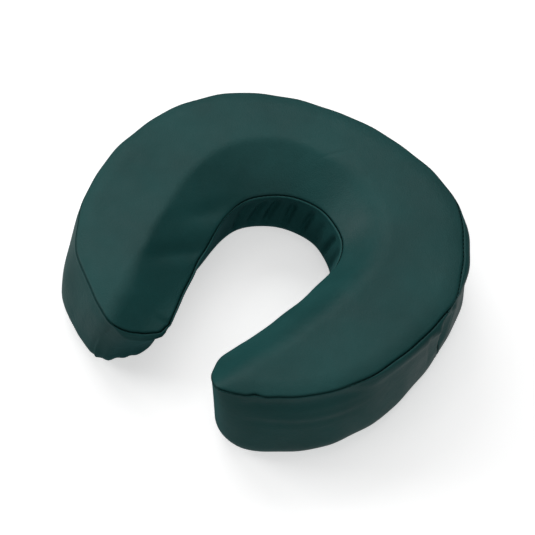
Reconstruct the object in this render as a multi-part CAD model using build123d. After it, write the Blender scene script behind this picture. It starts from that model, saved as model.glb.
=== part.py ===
"""Face cradle cushion: a sewn, foam-filled horseshoe pad that rests on the hook-and-loop platform
of a massage table's face cradle.

Units are millimetres. +Z is up, +Y points to the closed crown of the horseshoe and the two arm
tips point to -Y. The cushion is symmetric about X = 0. The origin is on the underside, at the
middle of the plan's bounding box.
"""

from build123d import *
import math
import os

# Plan outline: tangent arcs (radius, sweep in degrees) from the middle of the crown, heading +X,
# round one arm and back to the opening. A negative radius turns left.
CROWN = (215.0, 22.0)
CORNER = (112.0, 48.0)
SIDE = (160.0, 44.0)
FLANK = (141.0, 45.0)
TIP = (28.0, 131.0)
ARM_INNER_EDGE = (-450.0, 14.0)
TEMPLE = (-45.0, 68.0)

# Heights and profile
TOP = 80.0
ROLL_DROP = 2.0
ROLL_WIDTH = 12.0
BEVEL_DROP = 22.0
BEVEL_WIDTH = 37.0
UNDER_ROLL = 18.0

# Cover
SHEET = 1.2
FOAM_GAP = 0.3
SHOULDER_Y = 15.0

# Foam layers, from the underside up
BASE_FOAM_TOP = 30.0
MIDDLE_FOAM_TOP = 54.0

# Sewing thread
THREAD_RADIUS = 0.35
STITCH_PITCH = 4.0
STITCH_LENGTH = 3.0
SEAM_STEP = 1.0
THREAD_CLEARANCE = 0.15
MAX_STITCH_BEND = 0.05
CLOSING_LENGTH = 130.0
SHOULDER_MARGIN = 4.0

# Construction margins
CUT_MARGIN = 3.0
TIP_REACH = 60.0
FAR = 400.0

BEVEL_SLOPE = BEVEL_DROP / BEVEL_WIDTH
SEAM_TOP = TOP - ROLL_DROP
OUTER_SIDE = [CROWN, CORNER, SIDE, FLANK, TIP]
OPENING_SIDE = [ARM_INNER_EDGE, TEMPLE]


def arc_point(centre, radius, heading):
    """The point where a run along the circle has this heading."""
    x = centre[0] - radius * math.sin(heading)
    y = centre[1] + radius * math.cos(heading)
    return (x, y)


def run_arcs(start, heading, segments):
    """Tangent arcs end to end. Returns their (start, middle, end) points, and the last heading."""
    arcs = []
    for radius, sweep in segments:
        turn = -math.copysign(math.radians(sweep), radius)
        centre = (start[0] + radius * math.sin(heading), start[1] - radius * math.cos(heading))
        middle = arc_point(centre, radius, heading + turn / 2)
        end = arc_point(centre, radius, heading + turn)
        arcs.append((start, middle, end))
        start = end
        heading += turn
    return arcs, heading


def half_outline(crown_y):
    """Arcs of the right half: the outer side, then the opening side ending on X = 0."""
    outer, heading = run_arcs((0.0, crown_y), 0.0, OUTER_SIDE)
    tip_heading = heading
    inner, heading = run_arcs(outer[-1][2], heading, OPENING_SIDE)
    brow_radius = -inner[-1][2][0] / math.sin(heading)
    brow_sweep = math.degrees(-math.pi - heading)
    brow, heading = run_arcs(inner[-1][2], heading, [(brow_radius, brow_sweep)])
    return outer, inner + brow, tip_heading


def plan_face(crown_y):
    """The horseshoe outline as a face on Z = 0."""
    outer, inner, _ = half_outline(crown_y)
    with BuildSketch() as sketch:
        with BuildLine():
            for arc in outer + inner:
                ThreePointArc(*arc)
            mirror(about=Plane.YZ)
        make_face()
    return sketch.sketch


def opening_face(crown_y):
    """The opening between the arms, its edges run straight on past the tips."""
    _, inner, heading = half_outline(crown_y)
    tip_end = inner[0][0]
    reach = (tip_end[0] - TIP_REACH * math.cos(heading), tip_end[1] - TIP_REACH * math.sin(heading))
    with BuildSketch() as sketch:
        with BuildLine():
            for arc in inner:
                ThreePointArc(*arc)
            Line(tip_end, reach)
            Line(reach, (0.0, reach[1]))
            mirror(about=Plane.YZ)
        make_face()
    return sketch.sketch


CROWN_Y = plan_face(0.0).bounding_box().size.Y / 2
PLAN = plan_face(CROWN_Y)
OPENING = opening_face(CROWN_Y)


def inset_plan(inset, z):
    """The outline moved inwards and lifted to z."""
    face = offset(PLAN, amount=-inset) if inset else PLAN
    return Pos(0, 0, z) * face


def bevel_cutter(lowered):
    """Funnel above the opening. Its sides are the bevel that slopes into the opening."""
    seam_edge = TOP - BEVEL_DROP - lowered
    narrow = offset(OPENING, amount=-CUT_MARGIN, kind=Kind.INTERSECTION)
    wide = offset(OPENING, amount=BEVEL_WIDTH + CUT_MARGIN, kind=Kind.INTERSECTION)
    low = Pos(0, 0, seam_edge - CUT_MARGIN * BEVEL_SLOPE) * narrow
    high = Pos(0, 0, seam_edge + (BEVEL_WIDTH + CUT_MARGIN) * BEVEL_SLOPE) * wide
    return loft([low.face(), high.face()], ruled=True)


def under_top(lowered):
    """Everything below the top surface: flat, with a shallow roll at the rim and the bevel."""
    shoulder = SEAM_TOP - lowered
    body = extrude(PLAN, amount=shoulder)
    rim = inset_plan(0.0, shoulder).face()
    flat = inset_plan(ROLL_WIDTH, TOP - lowered).face()
    return body + loft([rim, flat], ruled=True) - bevel_cutter(lowered)


def pad_form(inset, lowered, floor):
    """The cushion's form, drawn in by inset at the sides, with its top lowered and its underside
    at floor. The underside's edge is rolled."""
    block = extrude(inset_plan(inset, floor), amount=TOP - floor)
    block = fillet(block.edges().group_by(Axis.Z)[0], UNDER_ROLL - inset)
    return block & under_top(lowered)


def slab(low, high):
    """Everything between two heights."""
    middle = (low + high) / 2
    return Pos(0, 0, middle) * Box(FAR, FAR, high - low)


def foam_core():
    """The foam as one block, before it is parted into layers."""
    return pad_form(SHEET + FOAM_GAP, SHEET + FOAM_GAP, SHEET + FOAM_GAP)


def top_panel():
    """Cover sheet over the flat top, its shallow roll and the bevel."""
    form = pad_form(SEAM_STEP, 0.0, SEAM_STEP)
    return form - Pos(0, 0, -SHEET) * form


def side_shell():
    """Cover sheet round all the sides, turned under the rolled edge as far as the base panel."""
    shell = pad_form(0.0, SHEET, 0.0) - pad_form(SHEET, 0.0, SHEET)
    return shell - extrude(inset_plan(UNDER_ROLL, 0.0), amount=SHEET)


def band_parts():
    """The side shell, parted at both shoulder seams: the crown band and the arm band."""
    shell = side_shell()
    half_gap = SEAM_STEP / 2
    behind = Pos(0, SHOULDER_Y + half_gap + FAR / 2, TOP / 2) * Box(FAR, FAR, FAR)
    crown_zone = behind - extrude(offset(OPENING, amount=BEVEL_WIDTH), amount=TOP)
    crown = shell & crown_zone
    seam_gap = Pos(0, SHOULDER_Y, TOP / 2) * Box(FAR, SEAM_STEP, FAR)
    seam_gap -= extrude(offset(OPENING, amount=BEVEL_WIDTH), amount=TOP)
    return crown, shell - crown_zone - seam_gap


def base_panel():
    """Loop-faced fabric panel on the flat underside, one seam width inside the band."""
    return extrude(inset_plan(UNDER_ROLL + SEAM_STEP, 0.0), amount=SHEET)


def seam_path(inset):
    """The closed path of a seam in plan, starting at the middle of the crown."""
    return inset_plan(inset, 0.0).face().outer_wire()


def top_seam_height(point):
    """Height of the top seam at a point of the outline: it dips where the bevel meets it."""
    reach = OPENING.distance_to(Vertex(point.X, point.Y, 0.0))
    return min(SEAM_TOP, TOP - BEVEL_DROP + reach * BEVEL_SLOPE)


def base_seam_height(point):
    """The base seam lies in the flat underside."""
    return SHEET / 2


def thread(start, end):
    """One straight stitch."""
    run = end - start
    return Plane(origin=start, z_dir=run) * Cylinder(
        THREAD_RADIUS, run.length, align=(Align.CENTER, Align.CENTER, Align.MIN)
    )


def lockstitches(path, height, lift, keep):
    """Straight stitches along a closed path, at its height plus lift, where keep(point) is true.
    The one place where the seam bends too sharply for a straight stitch is left out."""
    count = round(path.length / STITCH_PITCH)
    pitch = path.length / count
    stitches = []
    for index in range(count):
        spots = []
        for distance in (0.0, STITCH_LENGTH / 2, STITCH_LENGTH):
            point = path.position_at((index * pitch + distance) / path.length)
            spots.append(Vector(point.X, point.Y, height(point) + lift))
        start, middle, end = spots
        bend = middle.Z - (start.Z + end.Z) / 2
        if keep(start) and keep(end) and bend < MAX_STITCH_BEND:
            stitches.append(thread(start, end))
    return Compound(children=stitches)


def in_closing_run(point):
    """Whether a point of the base seam is in the part that was closed by hand."""
    return point.Y > 0 and abs(point.X) < CLOSING_LENGTH / 2 and point.Y > CROWN_Y / 2


def top_seam_stitches():
    """Thread that joins the top panel to the bands."""
    lift = THREAD_RADIUS + THREAD_CLEARANCE - SHEET
    return lockstitches(seam_path(SEAM_STEP / 2), top_seam_height, lift, lambda point: True)


def base_seam_stitches():
    """Thread that joins the bands to the base panel, all but the closing run."""
    path = seam_path(UNDER_ROLL + SEAM_STEP / 2)
    return lockstitches(path, base_seam_height, 0.0, lambda point: not in_closing_run(point))


def closing_stitches():
    """Ladder stitches that cross the base seam, where the cover was closed over the foam."""
    path = seam_path(UNDER_ROLL + SEAM_STEP / 2)
    half_length = SEAM_STEP / 2 - THREAD_CLEARANCE
    count = round(path.length / STITCH_PITCH)
    rungs = []
    for index in range(count):
        point = path.position_at(index / count)
        centre = Vector(point.X, point.Y, base_seam_height(point))
        if not in_closing_run(centre):
            continue
        across = path.tangent_at(index / count).cross(Vector(0, 0, 1)).normalized()
        rungs.append(thread(centre - across * half_length, centre + across * half_length))
    return Compound(children=rungs)


def shoulder_x():
    """Distance of the shoulder seams from X = 0, at the middle of the cover sheet."""
    across = Line((0, SHOULDER_Y), (FAR, SHOULDER_Y))
    inside = across & inset_plan(SHEET / 2, 0.0)
    return inside.bounding_box().max.X


def shoulder_seam_stitches():
    """Upright thread in the two joins between the crown band and the arm band."""
    x = shoulder_x()
    low = UNDER_ROLL + SHOULDER_MARGIN
    high = SEAM_TOP - SHEET - SHOULDER_MARGIN
    count = int((high - low) / STITCH_PITCH)
    stitches = []
    for side in (-x, x):
        for index in range(count):
            foot = Vector(side, SHOULDER_Y, low + index * STITCH_PITCH)
            stitches.append(thread(foot, foot + Vector(0, 0, STITCH_LENGTH)))
    return Compound(children=stitches)


def write(shape, node):
    """One STEP file per node."""
    export_step(shape, f"parts/{node}.step")


def main():
    os.makedirs("parts", exist_ok=True)
    core = foam_core()
    crown_band, arm_band = band_parts()
    write(core & slab(0.0, BASE_FOAM_TOP), "foam_base")
    write(core & slab(BASE_FOAM_TOP, MIDDLE_FOAM_TOP), "foam_middle")
    write(core & slab(MIDDLE_FOAM_TOP, TOP), "foam_top")
    write(top_panel(), "top_panel")
    write(crown_band, "crown_band")
    write(arm_band, "arm_band")
    write(base_panel(), "base_panel")
    write(top_seam_stitches(), "top_seam_stitches")
    write(base_seam_stitches(), "base_seam_stitches")
    write(closing_stitches(), "closing_stitches")
    write(shoulder_seam_stitches(), "shoulder_seam_stitches")


main()
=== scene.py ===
"""Looks of the face cradle cushion: sewn vinyl cover over layered foam, built round the CAD frame.

Lengths in this script are millimetres unless a name ends in _M. Every mesh is scaled to metres
when it is made. A station is a distance along the plan outline, clockwise from the middle of the
crown: right shoulder, right tip, right arm's inner edge, brow, and back by the left side.
"""

import math

import bmesh
import bpy
import numpy as np
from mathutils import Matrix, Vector


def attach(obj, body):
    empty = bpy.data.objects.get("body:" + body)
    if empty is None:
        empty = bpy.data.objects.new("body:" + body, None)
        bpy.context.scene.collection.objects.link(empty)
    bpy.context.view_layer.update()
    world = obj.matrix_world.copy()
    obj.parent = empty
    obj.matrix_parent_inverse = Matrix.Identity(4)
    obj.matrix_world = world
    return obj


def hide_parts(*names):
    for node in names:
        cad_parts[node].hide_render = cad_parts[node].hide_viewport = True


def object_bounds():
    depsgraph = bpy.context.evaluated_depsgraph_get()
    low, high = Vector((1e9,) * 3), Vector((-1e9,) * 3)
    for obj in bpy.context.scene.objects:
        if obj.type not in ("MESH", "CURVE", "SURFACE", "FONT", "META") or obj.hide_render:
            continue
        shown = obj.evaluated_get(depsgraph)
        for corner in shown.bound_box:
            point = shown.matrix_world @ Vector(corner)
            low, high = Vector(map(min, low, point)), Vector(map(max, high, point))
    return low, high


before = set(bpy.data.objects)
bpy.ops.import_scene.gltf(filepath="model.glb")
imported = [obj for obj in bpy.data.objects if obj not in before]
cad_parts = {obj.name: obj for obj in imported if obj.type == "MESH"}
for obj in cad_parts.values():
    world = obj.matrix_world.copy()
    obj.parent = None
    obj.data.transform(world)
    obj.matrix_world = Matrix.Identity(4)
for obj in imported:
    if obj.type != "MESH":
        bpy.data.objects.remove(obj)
cad_low, cad_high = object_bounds()

MM = 0.001
ROOT = "root"

# Plan outline: tangent arcs (radius, sweep in degrees) from the crown; a negative radius turns left.
OUTER_ARCS = ((215, 22), (112, 48), (160, 44), (141, 45))
TIP_ARC = (28, 131)
INNER_ARCS = ((-450, 14), (-45, 68))
OUTLINE_STEP = 0.25
TIP_REACH = 70.0
OPENING_POINTS = 800
BATCH = 2000

# Heights and profile, as in the CAD
CROWN_Y = cad_high.y / MM
TOP = cad_high.z / MM
SEAM_TOP = TOP - 2.0
BEVEL_DROP = 22.0
BEVEL_WIDTH = 33.5
UNDER_ROLL = 18.0
SHOULDER_Y = 15.0

# Slow waver of the sewn outline: wave length / 2 pi, start, height
SEWN_WAVER = ((9.1, 0.4, 0.3), (5.3, 1.0, 0.22))
# Where the tips' top edge is drawn in, as bells and windows along the outline. The lower body keeps
# its place there, except left of the crown, where stations are less than 0 and all of it follows.
DRAW_BELLS = ((456, 13, 2.6), (425, 9, -3.2), (488, 9, -0.7), (387, 5, -0.7), (911, 7, 1.1))
DRAW_WINDOWS = ((848, 12, 918, 25, 2.2), (864, 12, 902, 16, 1.8), (905, 30, 992, 28, 3.1))
# Where the top seam sits inside the outline: puckers, opening, left arm, left tip, right side
INSET_BELLS = ((397, 4, 1.6), (421, 6, 0.6))
INSET_WINDOWS = (
    (585, 20, 760, 60, 1), (730, 60, 880, 20, 1.5), (854, 26, 916, 18, 4.2),
    (95, 50, 212, 42, 4.6), (208, 30, 335, 60, 3),
)

# Mesh columns: how many along each side and round each tip, how far a tip's columns stop short of
# its arc's ends, and how they crowd beside the shoulder seams
SIDE_COLUMNS = 520
TIP_COLUMNS = 48
TIP_CORNER = 7.0
SHOULDER_CLOSENESS = 2.5
SHOULDER_SPREAD = 7.0
SEARCH_STEPS = 4000
# Share of the opening's columns against share of its edge, smoothed
BROW_COLUMNS = (0, 0.18, 0.82, 1)
BROW_PLACES = (0, 0.3, 0.7, 1)
BROW_KNOTS = 41
BROW_ROUNDS = 4


def add_object(name, data):
    """A new object in the scene."""
    thing = bpy.data.objects.new(name, data)
    bpy.context.scene.collection.objects.link(thing)
    return thing


def smooth(x):
    """0 below 0, 1 above 1, with level ends."""
    x = np.clip(x, 0.0, 1.0)
    return x * x * (3 - 2 * x)


def soft_min(a, b, k):
    """The lower of a and b, with the corner rounded over k."""
    h = np.clip(0.5 + 0.5 * (b - a) / k, 0.0, 1.0)
    return b + (a - b) * h - k * h * (1 - h)


def bell(x, centre, width):
    """1 at the centre, falling to nothing over a few widths."""
    return np.exp(-((x - centre) / width) ** 2)


def window(x, start, rise, end, fall):
    """1 between start and end, with a rise after the start and a fall before the end."""
    return smooth((x - start) / rise) * smooth((end - x) / fall)


def unit(vectors):
    """Vectors made 1 long."""
    return vectors / np.maximum(np.linalg.norm(vectors, axis=1, keepdims=True), 1e-9)


# ---- outline

def walk_arcs(start, heading, arcs):
    """Dense points along tangent arcs. Returns rows of (x, y, heading), first point left out."""
    rows = []
    x, y = start
    for radius, sweep in arcs:
        turn = -math.copysign(math.radians(sweep), radius)
        centre_x = x + radius * math.sin(heading)
        centre_y = y - radius * math.cos(heading)
        count = max(2, round(abs(turn * radius) / OUTLINE_STEP))
        h = heading + turn * np.arange(1, count + 1) / count
        rows.append(np.c_[centre_x - radius * np.sin(h), centre_y + radius * np.cos(h), h])
        x, y, heading = rows[-1][-1]
    return np.vstack(rows), heading


def half_outline():
    """Right half of the outline, crown to brow, its stations, and the tip arc's start and end."""
    outer, heading = walk_arcs((0.0, CROWN_Y), 0.0, OUTER_ARCS)
    tip, heading = walk_arcs(outer[-1, :2], heading, [TIP_ARC])
    inner, heading = walk_arcs(tip[-1, :2], heading, INNER_ARCS)
    brow_radius = -inner[-1, 0] / math.sin(heading)
    brow, _ = walk_arcs(inner[-1, :2], heading, [(brow_radius, math.degrees(-math.pi - heading))])
    rows = np.vstack([[(0.0, CROWN_Y, 0.0)], outer, tip, inner, brow])
    station = np.r_[0.0, np.cumsum(np.hypot(*np.diff(rows[:, :2], axis=0).T))]
    tip_start = station[len(outer)]
    tip_end = station[len(outer) + len(tip)]
    return rows, station, tip_start, tip_end


HALF_ROWS, HALF_STATION, TIP_START, TIP_END = half_outline()
HALF = HALF_STATION[-1]
LOOP = 2 * HALF


def outline(station):
    """Plan points and outward normals at these stations."""
    s = np.mod(station, LOOP)
    left = s > HALF
    t = np.where(left, LOOP - s, s)
    sign = np.where(left, -1.0, 1.0)
    x = sign * np.interp(t, HALF_STATION, HALF_ROWS[:, 0])
    y = np.interp(t, HALF_STATION, HALF_ROWS[:, 1])
    h = np.interp(t, HALF_STATION, HALF_ROWS[:, 2])
    normal = np.c_[-sign * np.sin(h), np.cos(h)]
    return np.c_[x, y] + normal * sewn_ease(s)[:, None], normal


def along_outline(station, bells, windows):
    """Sum of bells (place, width, height) and windows (start, rise, end, fall, height)."""
    total = sum(height * bell(station, place, width) for place, width, height in bells)
    return total + sum(height * window(station, *span) for *span, height in windows)


def top_draw(station):
    """How far the tips' top edge is drawn in over the lower body. Less than 0 where it juts out."""
    return along_outline(station, DRAW_BELLS, DRAW_WINDOWS)


def sewn_ease(station):
    """How far the sewn outline strays outwards from the cut pattern."""
    waver = sum(height * np.sin(station / length + start) for length, start, height in SEWN_WAVER)
    return waver - top_draw(station)


def distance_to(points, line):
    """Distance from plan points to a polyline."""
    result = []
    for part in np.array_split(points, len(points) // BATCH + 1):
        gap = ((part[:, None] - line) ** 2).sum(2)
        near = gap.argmin(1)
        best = np.sqrt(gap.min(1))
        for other in (np.maximum(near - 1, 0), np.minimum(near + 1, len(line) - 1)):
            run = line[other] - line[near]
            length = np.maximum((run ** 2).sum(1), 1e-12)
            share = np.clip(((part - line[near]) * run).sum(1) / length, 0.0, 1.0)
            foot = line[near] + run * share[:, None]
            best = np.minimum(best, np.hypot(*(part - foot).T))
        result.append(best)
    return np.concatenate(result)


def opening_line():
    """The opening's edge, run straight on past both tips."""
    points, _ = outline(np.linspace(TIP_END, LOOP - TIP_END, OPENING_POINTS))
    reach = TIP_REACH * unit(points[[0, -1]] - points[[1, -2]])
    return np.vstack([points[0] + reach[0], points, points[-1] + reach[1]])


def shoulder_station():
    """Station where the right shoulder seam crosses the outline."""
    s = np.linspace(0.0, TIP_START, SEARCH_STEPS)
    points, _ = outline(s)
    return float(s[np.abs(points[:, 1] - SHOULDER_Y).argmin()])


def loop_gap(station, place):
    """Signed distance along the outline from a place."""
    return np.mod(station - place + LOOP / 2, LOOP) - LOOP / 2


def seam_inset(station):
    """How far the top seam sits inside the outline, where the band rolls over the edge."""
    return along_outline(np.mod(station, LOOP), INSET_BELLS, INSET_WINDOWS)


def in_opening(station, fade):
    """1 along the opening's edge, fading out at both tips."""
    return window(station, TIP_END, fade, LOOP - TIP_END, fade)


OPENING_LINE = opening_line()
EDGE_STATIONS = np.arange(0.0, LOOP, 1.0)
EDGE_LINE, EDGE_NORMALS = outline(EDGE_STATIONS)
EDGE_LINE = EDGE_LINE - EDGE_NORMALS * seam_inset(EDGE_STATIONS)[:, None]
SHOULDER = shoulder_station()


def side_stations(corner, share):
    """Stations along the outer side, closer together beside the shoulder seams."""
    s = np.linspace(-corner, corner, SEARCH_STEPS // 2)
    crowd = np.cumsum(1 + SHOULDER_CLOSENESS * bell(np.abs(s), SHOULDER, SHOULDER_SPREAD))
    return np.interp(share * (crowd[-1] - crowd[0]) + crowd[0], crowd, s)


def opening_shares(share):
    """Shares of the opening's edge at these shares of its columns, which crowd at the brow."""
    knots = np.linspace(0, 1, BROW_KNOTS)
    even = np.interp(knots, BROW_COLUMNS, BROW_PLACES)
    for _ in range(BROW_ROUNDS):
        even[1:-1] = (even[:-2] + 2 * even[1:-1] + even[2:]) / 4
    return np.interp(share, knots, even)


def column_stations():
    """Stations of the mesh columns: outer side, right tip, opening side, left tip. They are less
    than 0 left of the crown."""
    corner = TIP_START + TIP_CORNER
    inner_start = TIP_END - TIP_CORNER
    u = np.arange(SIDE_COLUMNS) / SIDE_COLUMNS
    tip = (inner_start - corner) * np.arange(TIP_COLUMNS) / TIP_COLUMNS
    inner = inner_start + (LOOP - 2 * inner_start) * opening_shares(u)
    return np.r_[side_stations(corner, u), corner + tip, inner, LOOP - inner_start + tip]


STATION = column_stations()
COLUMNS = len(STATION)
PLAN, NORMAL = outline(STATION)
INSET = seam_inset(STATION)
SEAM_PLAN = PLAN - NORMAL * INSET[:, None]


# ---- top surface

ROLL_WIDTH = 15.0
ROLL_RISE = 2.8
SEAM_DIP = 0.7
SEAM_DIP_WIDTH = 0.8

# The bevel is wider on the left, widest at the left of the crown, and steeper on the left arm
BEVEL_SKEW = 4.0
BEVEL_SKEW_MIDDLE = -12.0
BEVEL_SKEW_WIDTH = 30.0
CROWN_EXTRA = 5.0
CROWN_PLACE = (-66, 75)
CROWN_SPREAD = 45.0
ARM_DROP = 5.0
ARM_X = (-15, 30)
ARM_Y = (10, 60)
BEVEL_RISE = 0.4

# Softness of the crease above the bevel: left, right, and what the left tip adds
CREASE_CRISP = 1.9
CREASE_SOFT = 8.0
CREASE_X = (-20, 50)
CREASE_TIP_SOFT = 3.5
CREASE_TIP_Y = (-55, 55)

# Soft hollows pressed into the top panel: middle (x, y), heading in degrees from +X, half length,
# half width, depth
HOLLOWS = (
    (-54, -37, 63, 26, 6, 3),
    (-63, -2, 63, 22, 6.5, 1.8),
    (-64, -58, 70, 14, 6, 0.8),
    (-40, -96, 75, 20, 11, 1.2),
    (-29, -101, 20, 7, 2.4, 1.6),
    (-3, 97, 50, 12, 1.6, 0.5),
)


def hollows(points):
    """Depth of the soft hollows at plan points."""
    depth = np.zeros(len(points))
    for x, y, heading, length, width, deep in HOLLOWS:
        turn = math.radians(heading)
        gap = points - (x, y)
        along = gap[:, 0] * math.cos(turn) + gap[:, 1] * math.sin(turn)
        across = gap[:, 1] * math.cos(turn) - gap[:, 0] * math.sin(turn)
        depth += deep * np.exp(-(along / length) ** 2 - (across / width) ** 2)
    return depth


def bevel_height(points, reach):
    """Height of the bevel at plan points, from their distance to the opening's edge."""
    width = BEVEL_WIDTH - BEVEL_SKEW * np.tanh((points[:, 0] - BEVEL_SKEW_MIDDLE) / BEVEL_SKEW_WIDTH)
    width = width + CROWN_EXTRA * bell(np.hypot(*(points - CROWN_PLACE).T), 0.0, CROWN_SPREAD)
    on_arm = smooth((ARM_X[0] - points[:, 0]) / ARM_X[1]) * smooth((ARM_Y[0] - points[:, 1]) / ARM_Y[1])
    return TOP + BEVEL_RISE - (BEVEL_DROP + ARM_DROP * on_arm) * (1 - reach / width)


def top_height(points, edge):
    """Height of the cover at plan points: plateau with a rolled rim and a dip at the seam, and
    the bevel. Edge is each point's distance from the top seam."""
    reach = distance_to(points, OPENING_LINE)
    inwards = 1 - np.clip(edge / ROLL_WIDTH, 0.0, 1.0)
    plateau = SEAM_TOP + ROLL_RISE * (1 - inwards ** 2)
    x, y = points.T
    softness = CREASE_CRISP + (CREASE_SOFT - CREASE_CRISP) * smooth((x - CREASE_X[0]) / CREASE_X[1])
    softness += CREASE_TIP_SOFT * smooth((CREASE_TIP_Y[0] - y) / CREASE_TIP_Y[1]) * (x < 0)
    surface = soft_min(plateau, bevel_height(points, reach), softness)
    return surface - SEAM_DIP * bell(edge, 0.0, SEAM_DIP_WIDTH) - hollows(points)


SEAM_HEIGHT = top_height(SEAM_PLAN, np.zeros(COLUMNS))


# ---- settling of the lower body

# How far the underside has settled sideways (x, y), at evenly spaced places from the crown
UNDER_SHIFT = (
    (0, 1), (0, 4), (-3, 5), (-7, 1), (-1, -2), (7, -3),
    (6, -3), (-1, -3), (-8, -4), (-8, -1.5), (-10, 4), (-17.5, 7.5),
    (-25.5, 6.5), (-19.5, -3.5), (-10, -7), (-4, -5), (0, -2), (1, 0),
)


def loop_curve(values, station):
    """A smooth closed curve through evenly spaced values, read at these stations."""
    v = np.asarray(values, float)
    n = len(v)
    t = np.mod(station, LOOP) / LOOP * n
    i = np.floor(t).astype(int)
    u = (t - i).reshape(t.shape + (1,) * (v.ndim - 1))
    a, b, c, d = v[(i - 1) % n], v[i % n], v[(i + 1) % n], v[(i + 2) % n]
    return b + 0.5 * u * (c - a + u * (2 * a - 5 * b + 4 * c - d + u * (3 * (b - c) + d - a)))


SHIFT = loop_curve(UNDER_SHIFT, STATION) + NORMAL * top_draw(STATION)[:, None]


# ---- rows and columns of the cover

RIM_INSETS = (12.0, 9.0, 6.6, 4.8, 3.4, 2.3, 1.5, 0.9, 0.55, 0.25)
SEAM_ROWS = (0.0, 0.25, 0.55, 0.9, 1.4, 2.0, 2.8, 3.8, 5.2)
MIDDLE_ROWS = 34
BASE_INSETS = (0.4, 0.9, 1.4, 2.0, 2.8)
BASE_FAN_ROUNDS = 50
FILL_ROUNDS = 300
LEAST_ROLL = 0.1
TOP_SEAM = len(RIM_INSETS)
BASE_SEAM = TOP_SEAM + 2 * len(SEAM_ROWS) + MIDDLE_ROWS - 2


def rim_row(inset):
    """A closed row of the top panel, this far inside the outline."""
    points = SEAM_PLAN - NORMAL * inset
    return np.c_[points, top_height(points, np.full(COLUMNS, inset))]


def band_distances(length):
    """Distances down the band from the top seam, closer together near both seams."""
    low, high = SEAM_ROWS[-1], length - SEAM_ROWS[-1]
    share = np.arange(1, MIDDLE_ROWS)[:, None] / MIDDLE_ROWS
    ends = np.array(SEAM_ROWS)[:, None] + np.zeros_like(length)
    return np.vstack([ends, low + (high - low) * share, length - ends[::-1]])


def band_rows():
    """Rows of the band: wall, rolled lower edge, and the underside's sideways shift. Also each
    row's distances down from the top seam and up from the base seam."""
    roll = np.maximum(INSET, LEAST_ROLL)
    wall = SEAM_HEIGHT - UNDER_ROLL + roll * (math.pi / 2 - 1)
    length = wall + UNDER_ROLL * math.pi / 2
    down = band_distances(length)
    angle = np.clip((down - wall) / UNDER_ROLL, 0.0, math.pi / 2)
    bend = np.clip(down / roll, 0.0, math.pi / 2)
    offset = INSET * (np.sin(bend) - 1) - UNDER_ROLL * (1 - np.cos(angle))
    drop = roll * (1 - np.cos(bend)) + np.maximum(down - roll * math.pi / 2, 0.0)
    z = np.where(down < wall, SEAM_HEIGHT - drop, UNDER_ROLL - UNDER_ROLL * np.sin(angle))
    depth = np.clip((SEAM_HEIGHT - z - roll) / (SEAM_HEIGHT - roll), 0.0, 1.0)
    share = 1 - (1 - depth) ** 2
    plan = PLAN + NORMAL * offset[..., None] + SHIFT * share[..., None]
    return np.concatenate([plan, z[..., None]], axis=2), down, length - down


def base_rows(edge):
    """Rows of the base panel, inside the band's last row."""
    along = np.roll(edge, -1, 0) - np.roll(edge, 1, 0)
    inward = unit(np.c_[along[:, 1], -along[:, 0], np.zeros(COLUMNS)])
    for _ in range(BASE_FAN_ROUNDS):
        inward = (np.roll(inward, 1, 0) + 2 * inward + np.roll(inward, -1, 0)) / 4
    return np.array([edge + unit(inward) * inset for inset in BASE_INSETS])


def set_border(grid, ring):
    """Copies a closed row on to the border of a fill grid."""
    sides, tips = grid.shape[0] - 1, grid.shape[1] - 1
    i, j = np.arange(sides + 1), np.arange(tips + 1)
    grid[:, 0] = ring[i]
    grid[:, -1] = ring[(2 * sides + tips - i) % len(ring)]
    grid[-1] = ring[sides + j]
    grid[0] = ring[(2 * sides + 2 * tips - j) % len(ring)]


def patch_fill(ring, sides, tips):
    """Fills a closed ring of columns with a four-sided grid, (sides + 1) by (tips + 1)."""
    grid = np.zeros((sides + 1, tips + 1, 3))
    set_border(grid, ring)
    outer, inner, right, left = (edge.copy() for edge in (grid[:, 0], grid[:, -1], grid[-1], grid[0]))
    u = np.linspace(0.0, 1.0, sides + 1)[:, None, None]
    v = np.linspace(0.0, 1.0, tips + 1)[None, :, None]
    grid = (1 - v) * outer[:, None] + v * inner[:, None] + (1 - u) * left[None] + u * right[None]
    grid -= (1 - u) * ((1 - v) * outer[0] + v * inner[0]) + u * ((1 - v) * outer[-1] + v * inner[-1])
    for _ in range(FILL_ROUNDS):
        grid[1:-1, 1:-1] = (grid[:-2, 1:-1] + grid[2:, 1:-1] + grid[1:-1, :-2] + grid[1:-1, 2:]) / 4
    return grid


def cover_surface():
    """The whole cover: closed rows from the top panel's rim over the band to the base panel, the
    two panels' fill grids, and the band's distances from its seams."""
    band, down, up = band_rows()
    rows = np.concatenate([[rim_row(inset) for inset in RIM_INSETS], band, base_rows(band[-1])])
    top = patch_fill(rows[0], SIDE_COLUMNS, TIP_COLUMNS)
    flat = top[..., :2].reshape(-1, 2)
    top[..., 2] = top_height(flat, distance_to(flat, EDGE_LINE)).reshape(top.shape[:2])
    return rows, top, patch_fill(rows[-1], SIDE_COLUMNS, TIP_COLUMNS), down, up


def ring_faces(rows, columns):
    """Quads between successive closed rows."""
    r = np.arange(rows - 1)[:, None] * columns
    c = np.arange(columns)[None, :]
    n = (c + 1) % columns
    return np.stack([r + c, r + n, r + columns + n, r + columns + c], axis=-1).reshape(-1, 4)


def patch_faces(border, inside, sides, tips):
    """Quads of a fill grid whose border is the closed row that starts at vertex border, and whose
    inner vertices start at vertex inside. They face up."""
    index = np.zeros((sides + 1, tips + 1), int)
    index[1:-1, 1:-1] = inside + np.arange((sides - 1) * (tips - 1)).reshape(sides - 1, tips - 1)
    set_border(index, border + np.arange(2 * (sides + tips)))
    corners = [index[:-1, :-1], index[:-1, 1:], index[1:, 1:], index[1:, :-1]]
    return np.stack(corners, axis=-1).reshape(-1, 4)


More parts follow.
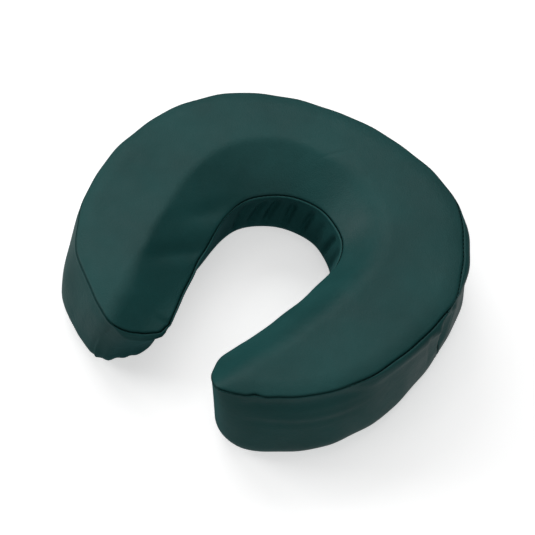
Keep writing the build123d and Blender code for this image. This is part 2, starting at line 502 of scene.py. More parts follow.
def closed_mesh(rows, top, base):
    """Vertices and outward quads of the whole closed cover."""
    sides, tips = top.shape[0] - 1, top.shape[1] - 1
    count = rows.shape[1]
    first = rows.shape[0] * count
    inner = (sides - 1) * (tips - 1)
    vertices = np.vstack([part.reshape(-1, 3) for part in (rows, top[1:-1, 1:-1], base[1:-1, 1:-1])])
    below = patch_faces(first - count, first + inner, sides, tips)[:, ::-1]
    faces = np.vstack([ring_faces(rows.shape[0], count), patch_faces(0, first, sides, tips), below])
    return vertices, faces


def split_mesh(vertices, rows, top, base):
    """Puts vertices of the closed cover back into its rows and fill grids."""
    first = rows.shape[0] * rows.shape[1]
    inner = top[1:-1, 1:-1].shape
    size = inner[0] * inner[1]
    rows[:] = vertices[:first].reshape(rows.shape)
    top[1:-1, 1:-1] = vertices[first:first + size].reshape(inner)
    base[1:-1, 1:-1] = vertices[first + size:].reshape(inner)
    set_border(top, rows[0])
    set_border(base, rows[-1])


def vertex_normals(vertices, faces):
    """Unit normals at the vertices of a quad mesh."""
    corner = vertices[faces]
    cross = np.repeat(np.cross(corner[:, 2] - corner[:, 0], corner[:, 3] - corner[:, 1]), 4, axis=0)
    return unit(np.stack([np.bincount(faces.ravel(), axis, len(vertices)) for axis in cross.T], axis=1))


# ---- relief of the band

BEAD_AT = 1.7
BEAD_WIDTH = 0.75
BEAD_RISE = 0.22
OPENING_BEAD = 0.5
SEAM_TUCK = 1.1
SEAM_TUCK_WIDTH = 0.6
OPENING_FADE = 60.0

# Windows down the band in which folds and creases show
FOLD_WINDOW = (4, 12, 48, 14)
CREASE_WINDOW = (2, 6, 58, 14)
# Soft folds round the opening and creases that fan out from the right shoulder seam: station at
# mid height, lean, width, depth
FOLD_CENTRE = 26.0
OPENING_FOLDS = (
    (620, 0.2, 3, 2), (634, 0.25, 2.7, 3.2), (648, 0.2, 3.6, 1.8), (663, 0.2, 2.9, 3.4),
    (679, 0.1, 3, 3.2), (694, 0.2, 3, 3.5), (706, 0.3, 2.8, 3), (720, 0.3, 3.6, 2),
)
CREASE_CENTRE = 30.0
SHOULDER_CREASES = (
    (203, 0.25, 2.6, 1.6), (211, 0.15, 3, -1.6), (221, 0, 4.2, 3.6), (231, -0.15, 3, -1.6),
    (240, -0.2, 2.6, 1.2),
)

# Swells of the wall: window along the outline, place and width down the band, height
RIGHT_RIDGE = ((110, 40, 345, 50), 8, 5, 1.1)
RIGHT_HOLLOW = ((300, 40, 420, 40), 10, 5.5, -2.6)
# Faint creases along the right hollow: same form, then their wave length / 2 pi and climb
RIGHT_CREASES = ((300, 40, 420, 40), 26, 9, 0.4)
RIGHT_CREASE_WAVE = (1.9, 0.02)

# Left tip: hollow of the wall (station, width, place down the band, width, depth), and gathers at
# the lower edge (window along the outline, waves, mean, height, where they rise down the band)
TIP_HOLLOW = (924, 15, 19, 13, 2.2)
GATHER_WINDOW = (868, 15, 960, 25)
GATHER_WAVES = ((2.1, 899, 1), (4.6, 901, 0.8))
GATHER_MEAN = 0.8
GATHER_HEIGHT = 0.6
GATHER_DOWN = (20, 30)

# Slow unevenness: waves (length along, length down, start, height)
SLACK_WAVES = ((17, 23, 0, 0.28), (9.3, -14, 1.3, 0.196), (31, math.inf, 2.1, 0.14))
SLACK_DOWN = (3, 10)
FOAM_REACH = 5


def seam_bead(distance, rise):
    """Relief across a seam: tucked in at the stitching, with a rolled edge beside it."""
    return rise * bell(distance, BEAD_AT, BEAD_WIDTH) - SEAM_TUCK * bell(distance, 0.0, SEAM_TUCK_WIDTH)


def creases(station, down, table, centre, span):
    """Leaning creases of the band: station at mid height, lean, width and depth of each."""
    relief = np.zeros_like(down)
    for place, lean, width, depth in table:
        relief -= depth * bell(loop_gap(station, place) - lean * (down - centre), 0.0, width)
    return relief * window(down, *span)


def swell(station, down, span, place, width, height):
    """A stretch of wall that stands out, or in, at one place down the band."""
    return height * bell(down, place, width) * window(station, *span)


def right_slack(station, down):
    """A ridge under the right side's seam, and a hollow with faint creases under the right arm's."""
    length, climb = RIGHT_CREASE_WAVE
    ripple = swell(station, down, *RIGHT_CREASES) * np.sin(down / length + climb * station)
    return swell(station, down, *RIGHT_RIDGE) + swell(station, down, *RIGHT_HOLLOW) + ripple


def tip_gathers(station, down):
    """Hollow and gathered lower edge of the left tip."""
    wave = sum(height * np.cos((station - start) / length) for length, start, height in GATHER_WAVES)
    gathers = GATHER_HEIGHT * (wave - GATHER_MEAN) * window(station, *GATHER_WINDOW)
    place, width, low, spread, depth = TIP_HOLLOW
    hollow = depth * bell(station, place, width) * bell(down, low, spread)
    return gathers * smooth((down - GATHER_DOWN[0]) / GATHER_DOWN[1]) - hollow


def slack(station, down):
    """Slow, shallow unevenness of a sewn cover."""
    wave = sum(height * np.sin(station / along + down / across + start)
               for along, across, start, height in SLACK_WAVES)
    return wave * smooth((down - SLACK_DOWN[0]) / SLACK_DOWN[1])


def band_relief(down, up):
    """All the relief of the band, outwards."""
    station = STATION[None] + np.zeros_like(down)
    rise = BEAD_RISE + OPENING_BEAD * in_opening(station, OPENING_FADE)
    relief = seam_bead(down, rise) + seam_bead(up, BEAD_RISE)
    for side in (SHOULDER, LOOP - SHOULDER):
        relief += seam_bead(np.abs(loop_gap(station, side)), BEAD_RISE)
    relief += creases(station, down, OPENING_FOLDS, FOLD_CENTRE, FOLD_WINDOW)
    relief += creases(station, down, SHOULDER_CREASES, CREASE_CENTRE, CREASE_WINDOW)
    return relief + right_slack(station, down) + tip_gathers(station, down) + slack(station, down)


def cover_relief(rows, down, up, count):
    """Outward relief of every vertex of the closed cover: the band's, and the base seam's tuck on
    the base panel."""
    relief = np.zeros(rows.shape[:2])
    relief[TOP_SEAM:BASE_SEAM + 1] = band_relief(down, up)
    tuck = SEAM_TUCK * bell(np.array(BASE_INSETS), 0.0, SEAM_TUCK_WIDTH)
    relief[BASE_SEAM + 1:] = -tuck[:, None]
    return np.r_[relief.ravel(), np.zeros(count - relief.size)]


def deepest_nearby(relief, rows):
    """How far the cover is pressed in at or near every vertex, so that the foam stays under it."""
    depth = np.maximum(-relief[:rows.shape[0] * COLUMNS].reshape(rows.shape[:2]), 0.0)
    for _ in range(FOAM_REACH):
        depth = np.maximum(depth, np.maximum(np.roll(depth, 1, 1), np.roll(depth, -1, 1)))
        depth[1:-1] = np.maximum(depth[1:-1], np.maximum(depth[:-2], depth[2:]))
    return np.r_[depth.ravel(), np.zeros(len(relief) - depth.size)]


# Painted shade in a seam's groove, by distance from it: width, and the width round the opening. It fades
# where the seam is pulled taut on the right side.
GROOVE_SHADE_WIDTH = 0.75
OPENING_GROOVE_SHADE_WIDTH = 0.45
GROOVE_SHADE_FADE = 15.0
TAUT_FADE = 0.85
TAUT_WINDOW = (110, 40, 222, 15)
# Width of the painted highlight along the rolled edge below the top seam round the opening.
HIGHLIGHT_WIDTH = 0.55


def cover_marks(rows, down, up, count):
    """Painted shade at every vertex of the closed cover by its closeness to a stitched groove, and a painted
    highlight by its closeness to the rolled edge round the opening.
    """
    gap = np.full(rows.shape[:2], np.inf)
    gap[:TOP_SEAM] = np.array(RIM_INSETS)[:, None]
    side = np.minimum(np.abs(loop_gap(STATION, SHOULDER)), np.abs(loop_gap(STATION, LOOP - SHOULDER)))
    gap[TOP_SEAM:BASE_SEAM + 1] = np.minimum(np.minimum(down, up), side)
    inner = in_opening(STATION, GROOVE_SHADE_FADE)
    # Painted shade: darker close to a seam, where its groove would be in shade.
    groove_shade = bell(gap, 0.0, GROOVE_SHADE_WIDTH + (OPENING_GROOVE_SHADE_WIDTH - GROOVE_SHADE_WIDTH) * inner)
    groove_shade[:BASE_SEAM - len(SEAM_ROWS)] *= 1 - TAUT_FADE * window(STATION, *TAUT_WINDOW)
    # Painted highlight on the rolled edge below the top seam round the opening, where the bead would catch
    # the light.
    worn = np.zeros(rows.shape[:2])
    worn[TOP_SEAM:BASE_SEAM + 1] = bell(down, BEAD_AT, HIGHLIGHT_WIDTH) * in_opening(STATION, OPENING_FADE)
    rest = np.zeros(count - gap.size)
    return {"seam": np.r_[groove_shade.ravel(), rest], "worn": np.r_[worn.ravel(), rest]}


# ---- cloth

CAGE_STRIDE = 4
CAGE_ROWS = (0, 3, 5, TOP_SEAM, TOP_SEAM + 7, *range(TOP_SEAM + 11, BASE_SEAM - 9, 4), BASE_SEAM - 6,
             BASE_SEAM, BASE_SEAM + 3, BASE_SEAM + 5)
CLOTH_SETTINGS = {
    "quality": 6, "tension_stiffness": 20.0, "compression_stiffness": 20.0, "shear_stiffness": 8.0,
    "bending_stiffness": 0.8, "air_damping": 2.0, "use_pressure": True,
    "uniform_pressure_force": 4.0, "shrink_max": -0.015,
}
CLOTH_FRAMES = 20
CLOTH_CAP = 3.0
SLACK_FADE = 40.0
HELD_BAND = 0.25
HELD_PANELS = 0.6
SOFTEN_ROUNDS = 12


def cage_of(rows, top, base):
    """A coarser copy of the cover's rows and grids."""
    k = CAGE_STRIDE
    return rows[list(CAGE_ROWS), ::k], top[::k, ::k], base[::k, ::k]


def cage_weights(rows, count):
    """How firmly the foam and the seams hold each vertex of the cage, and how loose the band is,
    which is cut longer than the foam round the opening. Both are 0 to 1."""
    held = np.full(rows.shape[:2], HELD_BAND)
    cage_rows = np.array(CAGE_ROWS)
    held[cage_rows < TOP_SEAM] = HELD_PANELS
    held[(cage_rows == TOP_SEAM) | (cage_rows >= BASE_SEAM)] = 1.0
    loose = np.tile(np.round(in_opening(STATION[::CAGE_STRIDE], SLACK_FADE), 1), len(rows))
    rest = count - held.size
    return np.r_[held.ravel(), np.full(rest, HELD_PANELS)], np.r_[loose, np.zeros(rest)]


def add_group(cage, name, weights):
    """A vertex group with these weights."""
    group = cage.vertex_groups.new(name=name)
    for weight in np.unique(weights):
        group.add(np.flatnonzero(weights == weight).tolist(), float(weight), "REPLACE")
    return group


def inflate(vertices, faces, held, loose):
    """Lets the cage settle as cloth under pressure. Returns its capped moves in millimetres."""
    mesh = bpy.data.meshes.new("cage")
    mesh.from_pydata((vertices * MM).tolist(), [], faces.tolist())
    cage = add_object("cage", mesh)
    modifier = cage.modifiers.new("Cloth", "CLOTH")
    cloth = modifier.settings
    for setting, value in CLOTH_SETTINGS.items():
        setattr(cloth, setting, value)
    cloth.effector_weights.gravity = 0.0
    cloth.vertex_group_mass = add_group(cage, "held", held).name
    cloth.vertex_group_shrink = add_group(cage, "loose", loose).name
    modifier.point_cache.frame_end = CLOTH_FRAMES
    for number in range(1, CLOTH_FRAMES + 1):
        bpy.context.scene.frame_set(number)
    settled = cage.evaluated_get(bpy.context.evaluated_depsgraph_get()).to_mesh()
    points = np.zeros(len(vertices) * 3)
    settled.vertices.foreach_get("co", points)
    move = points.reshape(-1, 3) / MM - vertices
    bpy.data.objects.remove(cage)
    bpy.data.meshes.remove(mesh)
    bpy.context.scene.frame_set(1)
    length = np.linalg.norm(move, axis=1, keepdims=True)
    return unit(move) * np.minimum(length, CLOTH_CAP)


def spread_matrix(coarse, fine):
    """Matrix that reads values held at coarse places at the fine places between them."""
    return np.stack([np.interp(fine, coarse, held) for held in np.eye(len(coarse))], axis=1)


def spread_moves(move, cage, rows, top, base):
    """The cage's moves on the full rows and grids."""
    split_mesh(move, *cage)
    height = np.r_[0.0, np.cumsum(np.linalg.norm(np.diff(rows, axis=0), axis=2).mean(1))]
    by_row = spread_matrix(height[list(CAGE_ROWS)], height)
    wrapped = np.concatenate([cage[0], cage[0][:, :1]], axis=1)
    by_column, side, tip = (
        spread_matrix(np.arange(0, count + 1, CAGE_STRIDE), np.arange(count + 1))
        for count in (COLUMNS, SIDE_COLUMNS, TIP_COLUMNS))
    moves = [np.einsum("ri,ijk,cj->rck", by_row, wrapped, by_column[:-1])]
    moves += [np.einsum("ri,ijk,cj->rck", side, grid, tip) for grid in cage[1:]]
    return moves


def soften(values, faces, fixed, rounds):
    """Averages values over neighbouring vertices this many times, except at the fixed ones."""
    a = faces.ravel()
    b = np.roll(faces, -1, axis=1).ravel()
    count = np.bincount(a, minlength=len(values)) + np.bincount(b, minlength=len(values))
    for _ in range(rounds):
        mean = np.empty_like(values)
        for k in range(3):
            total = np.bincount(a, values[b, k], len(values)) + np.bincount(b, values[a, k], len(values))
            mean[:, k] = total / count
        values = np.where(fixed[:, None], values, (values + mean) / 2)
    return values


def settle_cloth(rows, top, base, vertices, faces):
    """The cover's vertices after the cloth has settled over the foam."""
    cage = [part.copy() for part in cage_of(rows, top, base)]
    cage_vertices, cage_faces = closed_mesh(*cage)
    move = inflate(cage_vertices, cage_faces, *cage_weights(cage[0], len(cage_vertices)))
    moves = spread_moves(move, cage, rows, top, base)
    fine, _ = closed_mesh(*moves)
    fixed = np.isin(np.arange(len(vertices)) // COLUMNS, (TOP_SEAM, BASE_SEAM))
    settled = vertices + soften(fine, faces, fixed, SOFTEN_ROUNDS)
    settled[:, 2] = np.maximum(settled[:, 2], vertices[:, 2].min())
    return settled


# ---- pieces

SHEET = 1.0
FOAM_INSET = 3.8
FOAM_CUTS = (30, 54)
FOAM_EDGE_ANGLE = 50.0
FOAM_LOW = 1.5
FOAM_WELD = 0.02
FOAM_SOFTEN = 60


def link_piece(name, vertices, faces, material, slot, node, marks=None):
    """A smooth-shaded piece from millimetre vertices. It stands for one CAD node. Marks are named
    values at the vertices, for its material."""
    used = np.unique(faces)
    number = np.zeros(len(vertices), int)
    number[used] = np.arange(len(used))
    mesh = bpy.data.meshes.new(name)
    mesh.from_pydata((np.asarray(vertices)[used] * MM).tolist(), [], number[faces].tolist())
    mesh.polygons.foreach_set("use_smooth", np.ones(len(mesh.polygons), bool))
    mesh.materials.append(material)
    for mark, values in (marks or {}).items():
        mesh.attributes.new(mark, "FLOAT", "POINT").data.foreach_set("value", values[used])
    piece = add_object(name, mesh)
    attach(piece, ROOT)
    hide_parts(node)
    return piece


def sheet_piece(*arguments):
    """A piece of sheet material with its thickness on the inside."""
    piece = link_piece(*arguments)
    wall = piece.modifiers.new("thickness", "SOLIDIFY")
    wall.thickness = SHEET * MM
    wall.offset = -1.0
    done = bpy.data.meshes.new_from_object(piece.evaluated_get(bpy.context.evaluated_depsgraph_get()))
    piece.modifiers.clear()
    piece.data = done


# ---- stitches

THREAD_RADIUS = 0.5
THREAD_POINT = 0.02
STITCH_PITCH = 4.0
STITCH_LENGTH = 2.4
STITCH_LIFT = 0.5
STITCH_RINGS = 5
STITCH_SIDES = 6
SHOULDER_MARGIN = 4.0
CLOSING_LENGTH = 130.0
CLOSING_PITCH = 2.7
CLOSING_SLANT = 1.6
CLOSING_ROWS_UP = 4
CLOSING_ROWS_IN = 2
THREAD_BELOW = 0.7


def thread_mesh(ends, lift):
    """Arched, round-ended threads. Ends are rows of (start, end), and lift is each thread's own
    outward direction times its arch."""
    start, end = ends[:, 0], ends[:, 1]
    along = end - start
    axis = unit(along)
    out = unit(lift - axis * (lift * axis).sum(1, keepdims=True))
    across = np.cross(axis, out)
    t = (1 - np.cos(np.linspace(0, math.pi, STITCH_RINGS + 2))) / 2
    turn = np.arange(STITCH_SIDES) * 2 * math.pi / STITCH_SIDES
    arch = 4 * t * (1 - t)
    girth = THREAD_RADIUS * np.maximum(np.sqrt(arch), THREAD_POINT)
    centre = start[:, None] + along[:, None] * t[:, None] + lift[:, None] * arch[:, None]
    ring = out[:, None] * np.cos(turn)[:, None] + across[:, None] * np.sin(turn)[:, None]
    points = centre[:, :, None] + girth[:, None, None] * ring[:, None]
    cap = np.array([[0, k, k + 1, k + 2] for k in range(1, STITCH_SIDES - 1, 2)])
    last = (len(t) - 1) * STITCH_SIDES
    quads = np.vstack([ring_faces(len(t), STITCH_SIDES), cap[:, ::-1], cap + last])
    first = len(t) * STITCH_SIDES * np.arange(len(ends))
    return points.reshape(-1, 3), (quads + first[:, None, None]).reshape(-1, 4)


def read_path(points, place, at):
    """Points of a path at these distances along it."""
    return np.stack([np.interp(at, place, points[:, k]) for k in range(3)], axis=1)


def stitch_run(start_path, end_path, normals, pitch, length, margin=0.0):
    """Ends and outward directions of evenly spaced stitches that run from one path to another."""
    place = np.r_[0.0, np.cumsum(np.linalg.norm(np.diff(start_path, axis=0), axis=1))]
    room = place[-1] - 2 * margin
    count = int(room / pitch)
    centre = margin + room * (np.arange(count) + 0.5) / count
    start = read_path(start_path, place, centre - length / 2)
    end = read_path(end_path, place, centre + length / 2)
    return np.stack([start, end], axis=1), read_path(normals, place, centre)


# ---- materials

class Surface:
    """A procedural material being wired: short calls for the nodes that the finishes share."""

    def __init__(self, name):
        self.material = bpy.data.materials.new(name)
        self.material.use_nodes = True
        self.nodes = self.material.node_tree.nodes
        self.links = self.material.node_tree.links
        self.shader = self.nodes["Principled BSDF"]
        self.place = self.nodes.new("ShaderNodeTexCoord").outputs["Object"]

    def wire(self, value, socket):
        """Connects an output to a socket, or sets the socket to a plain value."""
        if isinstance(value, bpy.types.NodeSocket):
            self.links.new(value, socket)
        elif isinstance(value, tuple):
            socket.default_value = (*value, 1.0)
        else:
            socket.default_value = value

    def set(self, node, **inputs):
        """Sets or connects inputs of a node, with _ for a space in their names. Returns the node."""
        for name, value in inputs.items():
            self.wire(value, node.inputs[name.replace("_", " ")])
        return node

    def node(self, kind, *values, **inputs):
        """A new node, with inputs given in their order or by name."""
        node = self.nodes.new("ShaderNode" + kind)
        for value, socket in zip(values, node.inputs):
            self.wire(value, socket)
        return self.set(node, **inputs)

    def noise(self, scale, detail=3.0, roughness=0.5):
        """Cloudy noise, 0 to 1. Scale is in features per metre."""
        cloud = self.node("TexNoise", Vector=self.place, Scale=scale, Detail=detail, Roughness=roughness)
        return cloud.outputs["Fac"]

    def cells(self, scale):
        """Distance inside the cells of a cellular pattern. Scale is in cells per metre."""
        return self.node("TexVoronoi", Vector=self.place, Scale=scale).outputs["Distance"]

    def waves(self, scale, distortion):
        """Parallel ridges, 0 to 1, for the twist of a thread."""
        wave = self.node("TexWave", Vector=self.place, Scale=scale, Distortion=distortion)
        wave.bands_direction = "DIAGONAL"
        return wave.outputs["Fac"]

    def attribute(self, name):
        """A value stored at the mesh's vertices."""
        node = self.node("Attribute")
        node.attribute_name = name
        return node.outputs["Fac"]

    def range(self, value, low, high, to_low, to_high):
        """A value rescaled from one range to another, clamped."""
        node = self.node("MapRange", Value=value, From_Min=low, From_Max=high, To_Min=to_low, To_Max=to_high)
        return node.outputs["Result"]

    def mix(self, share, first, second):
        """Mixes two colours."""
        node = self.node("Mix", Factor=share)
        node.data_type = "RGBA"
        colours = [socket for socket in node.inputs if socket.type == "RGBA"]
        self.wire(first, colours[0])
        self.wire(second, colours[1])
        return [socket for socket in node.outputs if socket.type == "RGBA"][0]

    def math(self, operation, first, second):
        """Arithmetic on two values."""
        node = self.node("Math", first, second)
        node.operation = operation
        return node.outputs[0]

    def bump(self, height, depth, below=None):
        """Fine relief from a height pattern. Depth is in metres."""
        node = self.node("Bump", Distance=depth, Height=height)
        if below is not None:
            self.wire(below, node.inputs["Normal"])
        return node.outputs["Normal"]


VINYL_DEEP = (0.0105, 0.064, 0.062)
VINYL_FADED = (0.0138, 0.082, 0.0795)
# Painted shade for the seam grooves.
VINYL_GROOVE_SHADE = (0.0045, 0.030, 0.029)
# Painted highlight for the rolled edge round the opening.
VINYL_HIGHLIGHT = (0.016, 0.110, 0.105)
THREAD_DARK = (0.0006, 0.003, 0.003)
THREAD_LIGHT = (0.0020, 0.009, 0.009)
LOOP_DARK = (0.006, 0.009, 0.009)
LOOP_LIGHT = (0.035, 0.047, 0.045)


def vinyl_material():
    """Soft green coated fabric: leather grain, faint mottling, painted shade in the seam grooves and a
    painted highlight on the rolled edges.
    """
    vinyl = Surface("green_vinyl")
    mottle = vinyl.range(vinyl.noise(16.0, 4.0), 0.35, 0.65, 0.0, 1.0)
    colour = vinyl.mix(mottle, VINYL_DEEP, VINYL_FADED)
    # Painted highlight on the rolled edge, broken into patches by noise.
    highlight_patches = vinyl.range(vinyl.noise(45.0), 0.3, 0.6, 0.45, 1.0)
    highlight_share = vinyl.math("MULTIPLY", vinyl.attribute("worn"), highlight_patches)
    colour = vinyl.mix(highlight_share, colour, VINYL_HIGHLIGHT)
    # Painted shade in the seam grooves. The same seam mark also lowers the shine there.
    colour = vinyl.mix(vinyl.attribute("seam"), colour, VINYL_GROOVE_SHADE)
    grain = vinyl.bump(vinyl.cells(850.0), 0.00012)
    pores = vinyl.bump(vinyl.noise(3200.0, 2.0), 0.00004, grain)
    creases = vinyl.bump(vinyl.noise(85.0, 5.0, 0.6), 0.0005, pores)
    roughness = vinyl.range(vinyl.noise(30.0, 5.0), 0.3, 0.7, 0.42, 0.54)
    shine = vinyl.range(vinyl.attribute("seam"), 0.0, 1.0, 0.17, 0.02)
    vinyl.set(vinyl.shader, Base_Color=colour, Roughness=roughness, Normal=creases,
              Specular_IOR_Level=shine)
    return vinyl.material


def thread_material():
    """Twisted dark green polyester thread."""
    thread = Surface("green_thread")
    twist = thread.waves(1400.0, 1.5)
    colour = thread.mix(twist, THREAD_DARK, THREAD_LIGHT)
    thread.set(thread.shader, Base_Color=colour, Roughness=0.7, Normal=thread.bump(twist, 0.0001),
               Specular_IOR_Level=0.08)
    return thread.material


def loop_material():
    """Dark brushed loop fabric, which a hook-faced rest grips."""
    loop = Surface("dark_loop_fabric")
    tufts = loop.cells(900.0)
    fluff = loop.range(loop.noise(1800.0, 4.0, 0.7), 0.3, 0.7, 0.5, 1.0)
    # Painted shade: each tuft lighter in its middle and darker towards the gaps between tufts, with random
    # fluff.
    shade = loop.math("MULTIPLY", loop.range(tufts, 0.0, 0.7, 1.0, 0.2), fluff)
    colour = loop.mix(shade, LOOP_DARK, LOOP_LIGHT)
    pile = loop.bump(shade, 0.0006)
    nap = loop.bump(loop.noise(60.0, 4.0), 0.0008, pile)
    loop.set(loop.shader, Base_Color=colour, Roughness=0.95, Normal=nap, Sheen_Weight=0.35,
             Sheen_Roughness=0.6)
    return loop.material


def foam_material(name, light, dark, cells):
    """Open-cell foam: pores painted darker in their middles, as painted shade in the pits."""
    foam = Surface(name)
    pores = foam.cells(cells)
    blotches = foam.range(foam.noise(35.0, 4.0), 0.2, 0.8, 0.8, 1.0)
    # Painted shade: darker in the middle of each pore, with random blotches.
    shade = foam.math("MULTIPLY", foam.range(pores, 0.05, 0.5, 0.0, 1.0), blotches)
    foam.set(foam.shader, Base_Color=foam.mix(shade, dark, light), Roughness=0.92,
             Normal=foam.bump(pores, 0.0005), Subsurface_Weight=0.1, Subsurface_Scale=0.004)
    return foam.material


VINYL = vinyl_material()
THREAD = thread_material()
LOOP_FABRIC = loop_material()
FIRM_FOAM = foam_material("blue_grey_firm_foam", (0.45, 0.50, 0.55), (0.22, 0.25, 0.28), 1100.0)
MEDIUM_FOAM = foam_material("white_medium_foam", (0.75, 0.74, 0.68), (0.46, 0.45, 0.40), 950.0)
SOFT_FOAM = foam_material("cream_soft_foam", (0.85, 0.78, 0.55), (0.52, 0.46, 0.28), 800.0)


# ---- cover

class Cover:
    """The settled cover: its vertices and quads, its rows, and the skin of the foam under it."""

    def __init__(self):
        self.rows, self.top, self.base, self.down, self.up = cover_surface()
        plain, self.faces = closed_mesh(self.rows, self.top, self.base)
        plain = settle_cloth(self.rows, self.top, self.base, plain, self.faces)
        outward = vertex_normals(plain, self.faces)
        relief = cover_relief(self.rows, self.down, self.up, len(plain))
        skin = plain - outward * (FOAM_INSET + deepest_nearby(relief, self.rows))[:, None]
        self.foam_skin = soften(skin, self.faces, np.zeros(len(skin), bool), FOAM_SOFTEN)
        self.foam_skin[:, 2] = np.maximum(self.foam_skin[:, 2], FOAM_LOW)
        self.vertices = plain + outward * relief[:, None]
        self.vertices[:, 2] = np.maximum(self.vertices[:, 2], 0.0)
        normals = vertex_normals(self.vertices, self.faces)
        split_mesh(self.vertices, self.rows, self.top, self.base)
        self.row_normals = normals[:len(self.rows) * COLUMNS].reshape(self.rows.shape)

    def panels(self):
        """Quads of the top panel, crown band, arm band and base panel."""
        rings = ring_faces(len(self.rows), COLUMNS).reshape(-1, COLUMNS, 4)
        top_fill, base_fill = self.faces[rings.size // 4:].reshape(2, -1, 4)
        middle = STATION + np.mod(np.roll(STATION, -1) - STATION, LOOP) / 2
        in_crown = np.abs(loop_gap(middle, 0.0)) < SHOULDER
        band = rings[TOP_SEAM:BASE_SEAM]
        top = np.vstack([*rings[:TOP_SEAM], top_fill])
        base = np.vstack([*rings[BASE_SEAM:], base_fill])
        return top, band[:, in_crown].reshape(-1, 4), band[:, ~in_crown].reshape(-1, 4), base


def add_cover(cover):
    """The four panels of the cover."""
    top, crown, arm, base = cover.panels()
    marks = cover_marks(cover.rows, cover.down, cover.up, len(cover.vertices))
    for name, quads, node in (
            ("vinyl_top", top, "top_panel"),
            ("vinyl_crown_band", crown, "crown_band"),
            ("vinyl_arm_band", arm, "arm_band")):
        sheet_piece(name, cover.vertices, quads, VINYL, "cover_vinyl", node, marks)
    sheet_piece("loop_base", cover.vertices, base, LOOP_FABRIC, "loop_fabric", "base_panel")


# ---- seams

def seam_stitches(cover, rows, columns, margin=0.0):
    """Straight stitches along a seam, clear of its ends by the margin."""
    path, outward = cover.rows[rows, columns], cover.row_normals[rows, columns]
    return stitch_run(path, path, outward, STITCH_PITCH, STITCH_LENGTH, margin)


def closing_stitches(cover, columns):
    """Slanted hand stitches over the base seam, from the crown band to the base panel."""
    band_side = cover.rows[BASE_SEAM - CLOSING_ROWS_UP, columns]
    base_side = cover.rows[BASE_SEAM + CLOSING_ROWS_IN, columns]
    outward = cover.row_normals[BASE_SEAM, columns]
    return stitch_run(band_side, base_side, outward, CLOSING_PITCH, CLOSING_SLANT)


def shoulder_stitches(cover):
    """Stitches down both shoulder seams."""
    band = slice(TOP_SEAM, BASE_SEAM + 1)
    columns = [np.abs(loop_gap(STATION, side)).argmin() for side in (SHOULDER, LOOP - SHOULDER)]
    runs = [seam_stitches(cover, band, column, SHOULDER_MARGIN) for column in columns]
    return [np.vstack(parts) for parts in zip(*runs)]


def thread_piece(name, stitches, node):
    """One piece for all the stitches of a seam."""
    ends, outward = stitches
    points, quads = thread_mesh(ends + outward[:, None] * STITCH_LIFT / 2, outward * STITCH_LIFT)
    points[:, 2] = np.maximum(points[:, 2], -THREAD_BELOW)
    link_piece(name, points, quads, THREAD, "thread", node)


def add_threads(cover):
    """The stitches of every seam."""
    closing = np.flatnonzero(np.abs(loop_gap(STATION, 0.0)) < CLOSING_LENGTH / 2)
    plain = np.r_[np.arange(closing[-1], COLUMNS), np.arange(closing[0] + 1)]
    whole = np.r_[np.arange(COLUMNS), 0]
    thread_piece("thread_top_seam", seam_stitches(cover, TOP_SEAM, whole), "top_seam_stitches")
    thread_piece("thread_base_seam", seam_stitches(cover, BASE_SEAM, plain), "base_seam_stitches")
    thread_piece("thread_closing", closing_stitches(cover, closing), "closing_stitches")
    thread_piece("thread_shoulder_seams", shoulder_stitches(cover), "shoulder_seam_stitches")


# ---- foam

def cut_level(body, height, up):
    """Cuts away what lies beyond a height, upwards or downwards, and closes the cut."""
    everything = body.verts[:] + body.edges[:] + body.faces[:]
    cut = bmesh.ops.bisect_plane(body, geom=everything, plane_co=(0, 0, height * MM),
                                 plane_no=(0, 0, up), clear_outer=True)
    edges = [item for item in cut["geom_cut"] if isinstance(item, bmesh.types.BMEdge)]
    bmesh.ops.triangle_fill(body, use_beauty=True, edges=edges, normal=(0, 0, up))


def foam_layer(cover, name, low, high, material, slot, node):
    """One layer of the foam pad, cut from the pad's whole shape."""
    parts = [part.copy() for part in (cover.rows, cover.top, cover.base)]
    split_mesh(cover.foam_skin, *parts)
    pad, quads = closed_mesh(*cage_of(*parts))
    piece = link_piece(name, pad, quads, material, slot, node)
    body = bmesh.new()
    body.from_mesh(piece.data)
    for height, up in ((low, -1), (high, 1)):
        if height is not None:
            cut_level(body, height, up)
    bmesh.ops.remove_doubles(body, verts=body.verts[:], dist=FOAM_WELD * MM)
    bmesh.ops.holes_fill(body, edges=[edge for edge in body.edges if edge.is_boundary])
    bmesh.ops.recalc_face_normals(body, faces=body.faces[:])
    if body.calc_volume(signed=True) < 0:
        bmesh.ops.reverse_faces(body, faces=body.faces[:])
    body.to_mesh(piece.data)
    body.free()
    piece.data.set_sharp_from_angle(angle=math.radians(FOAM_EDGE_ANGLE))


def add_foam(cover):
    """The three layers of foam."""
    low, high = FOAM_CUTS
    foam_layer(cover, "foam_pad_base", None, low, FIRM_FOAM, "firm_foam", "foam_base")
    foam_layer(cover, "foam_pad_middle", low, high, MEDIUM_FOAM, "medium_foam", "foam_middle")
    foam_layer(cover, "foam_pad_top", high, None, SOFT_FOAM, "soft_foam", "foam_top")


# ---- stage

TARGET = Vector((14.45, -26.9, SEAM_TOP)) * MM
# Azimuth, elevation and distance in metres
CAMERA_PLACE = (33.88, 52.96, 1.935)
CAMERA_LENS = 168.2
# Soft lights: azimuth, elevation, size in metres, power in watts
LIGHTS = (
    (-125, 45, 2.2, 40), (180, 50, 2.2, 22.5), (0, 88, 2.5, 18), (-75, 24, 1.8, 49),
    (30, 40, 2.2, 17), (80, 12, 1.4, 14.5), (15, 10, 1.4, 4),
)
LIGHT_DISTANCE_M = 3.6
WHITE = (1.0, 1.0, 1.0)
WORLD_GLOW = 0.01
FLOOR_HALF_M = 6.0
FLOOR_Z_M = -0.0008
FLOOR_COLOUR = (0.9, 0.9, 0.9)
FLOOR_GLOW = 0.55
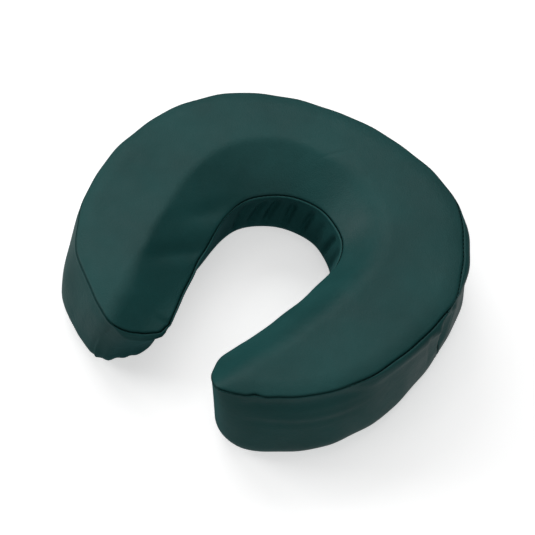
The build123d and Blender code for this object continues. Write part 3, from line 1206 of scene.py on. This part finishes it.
# Light the floor returns: strength under the cushion and in its opening, strength out in the open,
# and the distances from the middle between which it grows
FLOOR_RETURN = (0.092, 0.235)
SHADE_CENTRE_M = (-0.025, -0.035, 0.0)
SHADE_REACH_M = (0.09, 0.155)
SHADE_TINT = (0.40, 0.95, 1.0)


def aimed_object(name, data, azimuth, elevation, distance):
    """An object that faces the target from this angle, in degrees, and distance."""
    turn, rise = math.radians(azimuth), math.radians(elevation)
    away = Vector((math.sin(turn) * math.cos(rise), -math.cos(turn) * math.cos(rise), math.sin(rise)))
    thing = add_object(name, data)
    thing.location = TARGET + distance * away
    thing.rotation_euler = (TARGET - thing.location).to_track_quat("-Z", "Y").to_euler()
    return thing


def add_camera():
    """The camera, at the photo's angle."""
    data = bpy.data.cameras.new("camera")
    data.lens = CAMERA_LENS
    bpy.context.scene.camera = aimed_object("camera", data, *CAMERA_PLACE)


def add_light(name, azimuth, elevation, size, power):
    """A soft square light aimed at the cushion."""
    data = bpy.data.lights.new(name, "AREA")
    data.size = size
    data.energy = power
    aimed_object(name, data, azimuth, elevation, LIGHT_DISTANCE_M)


def floor_material():
    """Looks near white, and lights the cushion from below with a set strength: less and blue-green
    in the cushion's own shade, and twice as much for mirrored rays."""
    floor = Surface("floor_white")
    reach = floor.node("VectorMath", floor.place)
    reach.operation = "DISTANCE"
    reach.inputs[1].default_value = SHADE_CENTRE_M
    openness = floor.range(reach.outputs["Value"], *SHADE_REACH_M, 0.0, 1.0)
    ray = floor.node("LightPath").outputs
    mirrored = floor.math("ADD", ray["Is Glossy Ray"], 1.0)
    returned = floor.math("MULTIPLY", floor.range(openness, 0.0, 1.0, *FLOOR_RETURN), mirrored)
    bounce = floor.node("Emission", Color=floor.mix(openness, SHADE_TINT, WHITE), Strength=returned)
    seen = floor.node("BsdfDiffuse", Color=FLOOR_COLOUR)
    glow = floor.node("Emission", Strength=FLOOR_GLOW)
    lit = floor.node("AddShader", seen.outputs[0], glow.outputs[0])
    either = floor.node("MixShader", ray["Is Camera Ray"], bounce.outputs[0], lit.outputs[0])
    floor.set(floor.nodes["Material Output"], Surface=either.outputs[0])
    floor.nodes.remove(floor.shader)
    return floor.material


def add_floor():
    """A wide pale floor under the cushion."""
    mesh = bpy.data.meshes.new("floor")
    half, z = FLOOR_HALF_M, FLOOR_Z_M
    corners = [(-half, -half, z), (half, -half, z), (half, half, z), (-half, half, z)]
    mesh.from_pydata(corners, [], [(0, 1, 2, 3)])
    mesh.materials.append(floor_material())
    add_object("floor", mesh)


def add_world():
    """Faint even light from all round."""
    world = bpy.data.worlds.new("studio")
    world.use_nodes = True
    background = world.node_tree.nodes["Background"]
    background.inputs["Color"].default_value = (*WHITE, 1.0)
    background.inputs["Strength"].default_value = WORLD_GLOW
    bpy.context.scene.world = world


# ---- scene

cover = Cover()
add_cover(cover)
add_threads(cover)
add_foam(cover)
bpy.context.scene.view_settings.view_transform = "Standard"
add_camera()
add_world()
add_floor()
for number, light in enumerate(LIGHTS):
    add_light(f"light_{number}", *light)
